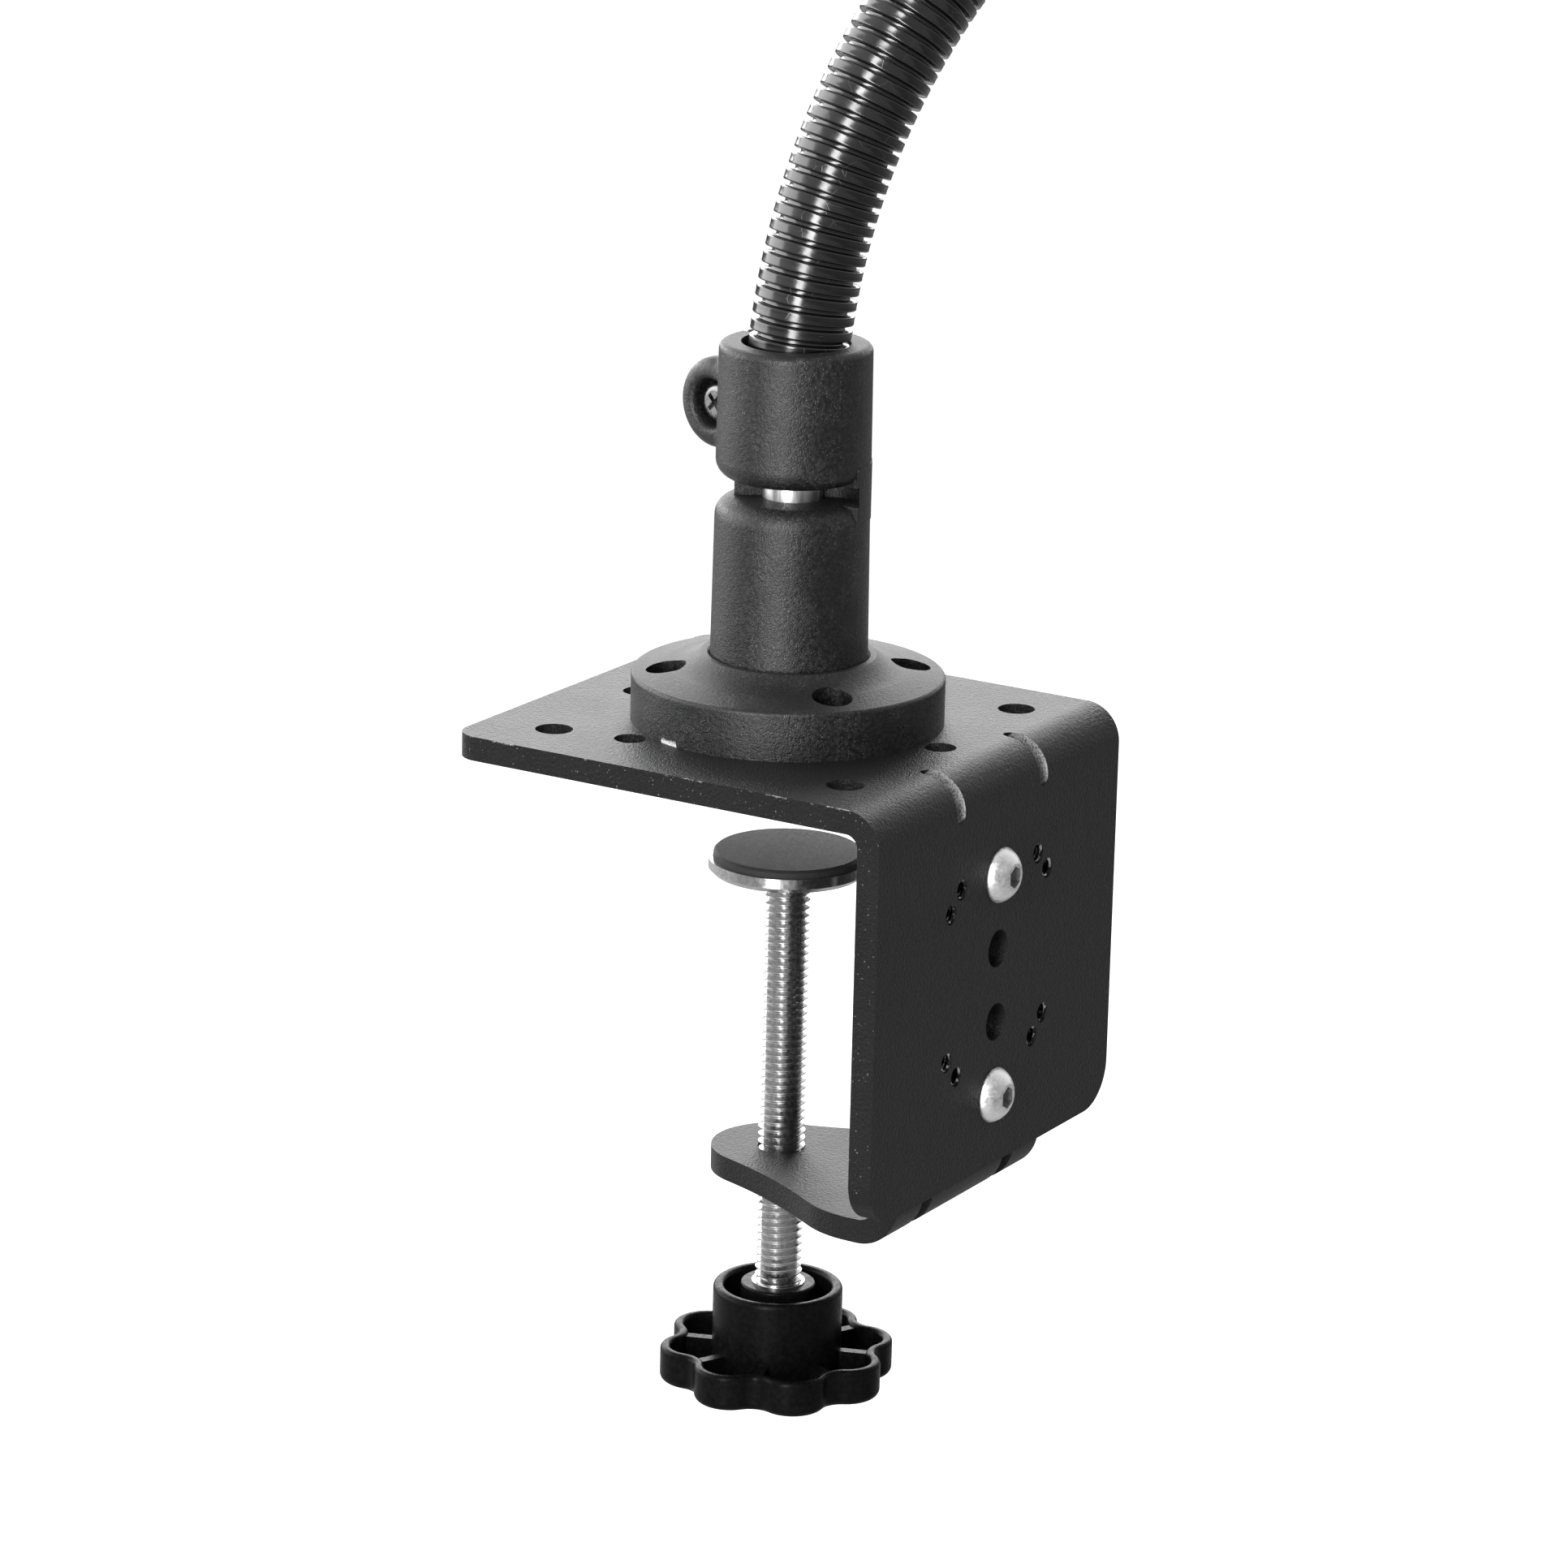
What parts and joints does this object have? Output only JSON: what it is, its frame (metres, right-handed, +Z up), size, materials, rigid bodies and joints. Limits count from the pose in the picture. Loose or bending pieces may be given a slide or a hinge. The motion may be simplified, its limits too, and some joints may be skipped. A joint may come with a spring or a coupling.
{
  "type": "tablet clamp mount",
  "caption": "Desk-edge screw clamp of bent steel plate carrying a round base, a split collar with pinch screw and a corrugated flexible arm that holds a tablet or phone cradle.",
  "frame": {"origin": "centre of the square of corner holes, on the underside of the top plate where it meets the desk top", "axes": "+Z up out of the desk, +Y into the desk away from its edge, X along the desk edge"},
  "size_m": [0.0959, 0.101, 0.3097],
  "materials": {
    "black_powder_coat": "satin black powder coat with a fine orange-peel",
    "stainless": "satin stainless steel",
    "glass_filled_nylon": "moulded, matt, slightly mottled",
    "black_steel": "black oxide",
    "bright_zinc": "bright zinc plate",
    "aluminium_rod": "polished",
    "gloss_conduit": "glossy black",
    "knob_plastic": "satin black",
    "rubber": "matt"
  },
  "bodies": {
    "bracket": {"top_bracket": "black_powder_coat", "foot_bracket": "black_powder_coat", "upper_bolt": "stainless", "lower_bolt": "stainless", "base_flange": "glass_filled_nylon", "flange_screw_1": "black_steel", "flange_screw_2": "black_steel", "flange_screw_3": "black_steel", "flange_screw_4": "black_steel", "arm_socket": "glass_filled_nylon", "socket_screw": "black_steel", "socket_washer": "bright_zinc", "pinch_screw": "stainless", "pinch_nut": "stainless"},
    "arm": {"flex_rod": "aluminium_rod", "sheath": "gloss_conduit"},
    "screw": {"clamp_screw": "bright_zinc", "knob": "knob_plastic", "knob_insert": "bright_zinc"},
    "pad": {"pad_cup": "bright_zinc", "pad_face": "rubber", "pad_washer": "bright_zinc"}
  },
  "joints": [
    {"name": "arm_turn", "type": "hinge", "parent": "bracket", "child": "arm", "pos_m": [0, 0, 0.067], "axis": [0, 0, 1], "range_deg": [-180, 180]},
    {"name": "pad_feed", "type": "slide", "parent": "bracket", "child": "pad", "axis": [0, 0, 1], "range_m": [-0.056, 0.02]},
    {"name": "screw_turn", "type": "hinge", "parent": "pad", "child": "screw", "pos_m": [0, -0.001, -0.0845], "axis": [0, 0, 1], "range_deg": [-12701, 4537]}
  ],
  "couplings": [
    {"joint": "screw_turn", "follows": "pad_feed", "rad_per_m": 3957.9}
  ]
}
